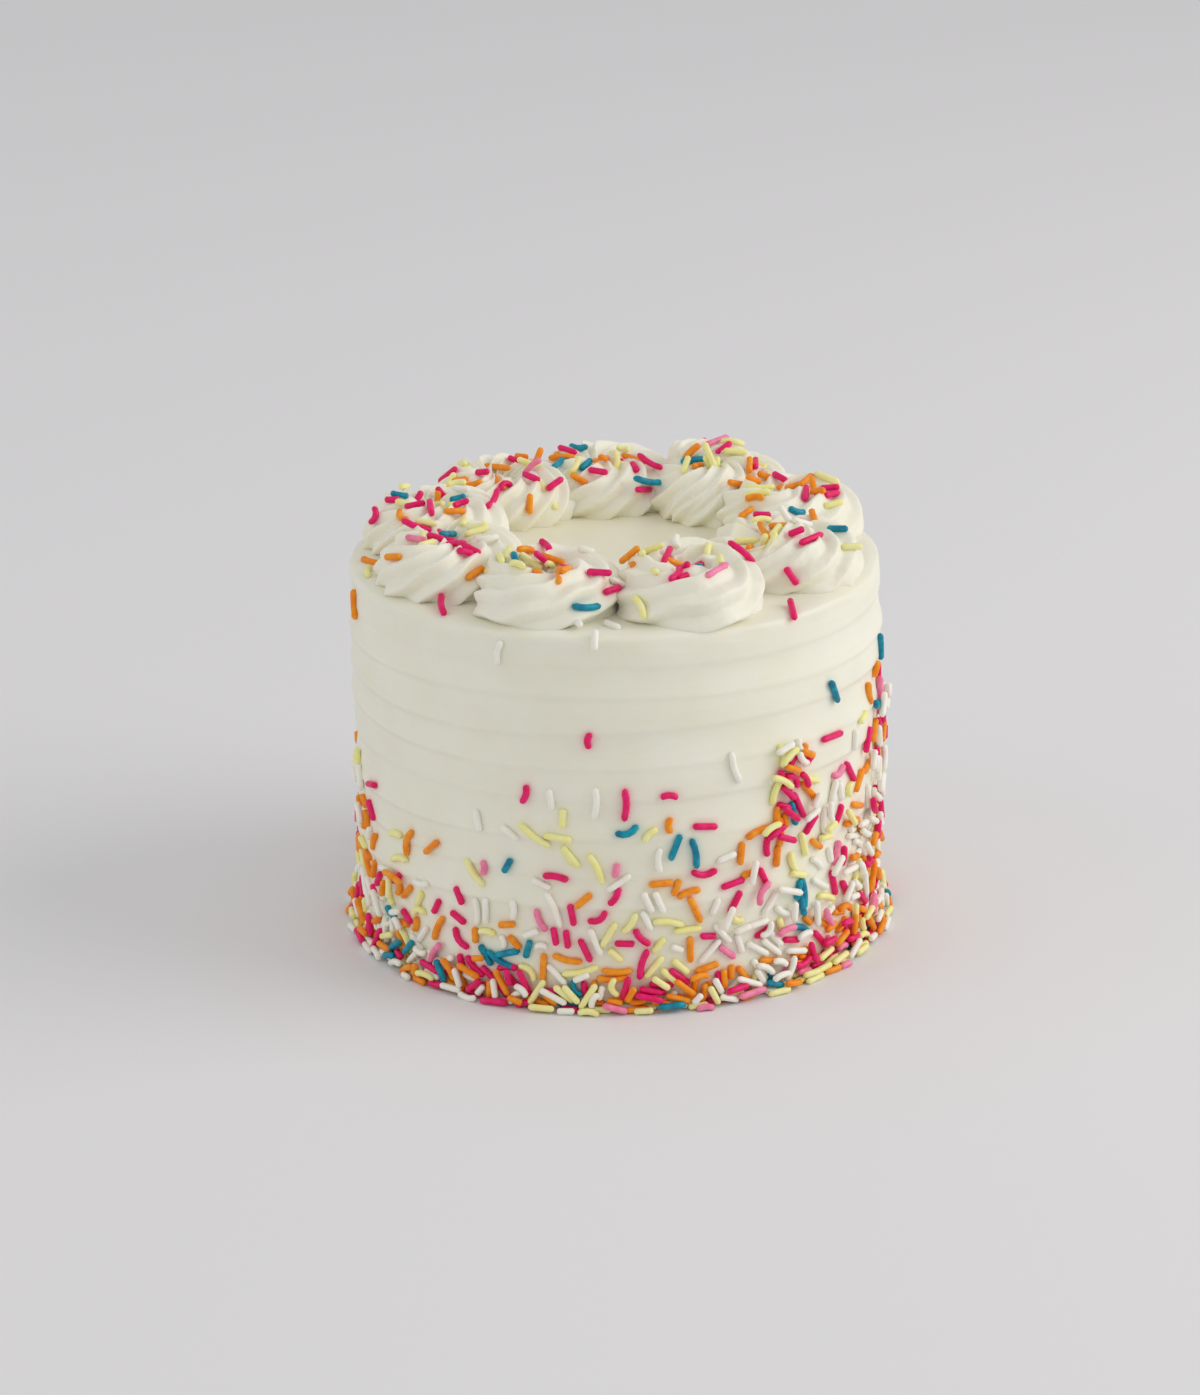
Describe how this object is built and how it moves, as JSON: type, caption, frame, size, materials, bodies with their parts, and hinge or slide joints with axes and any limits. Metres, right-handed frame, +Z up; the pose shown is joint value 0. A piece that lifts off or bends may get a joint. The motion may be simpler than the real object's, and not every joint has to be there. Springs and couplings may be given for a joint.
{
  "type": "celebration cake",
  "caption": "Tall round layer cake iced with white buttercream, combed sides, a ring of piped rosettes on top and coloured sugar sprinkles.",
  "frame": {"origin": "centre of the flat round base of the cake", "axes": "+Z up, -Y the front that the picture shows, +X to the right seen from the front"},
  "size_m": [0.1642, 0.1643, 0.1402],
  "materials": {
    "buttercream": "soft satin buttercream, slightly warm white",
    "sprinkle_pink": "polished sugar strand, bright pink",
    "sprinkle_orange": "polished sugar strand, orange",
    "sprinkle_yellow": "polished sugar strand, pale lemon yellow",
    "sprinkle_teal": "polished sugar strand, teal blue",
    "sprinkle_white": "polished sugar strand, ivory white"
  },
  "bodies": {
    "root": {"cake_body": "buttercream", "rosette_1": "buttercream", "rosette_2": "buttercream", "rosette_3": "buttercream", "rosette_4": "buttercream", "rosette_5": "buttercream", "rosette_6": "buttercream", "rosette_7": "buttercream", "rosette_8": "buttercream", "rosette_9": "buttercream"}
  },
  "joints": []
}
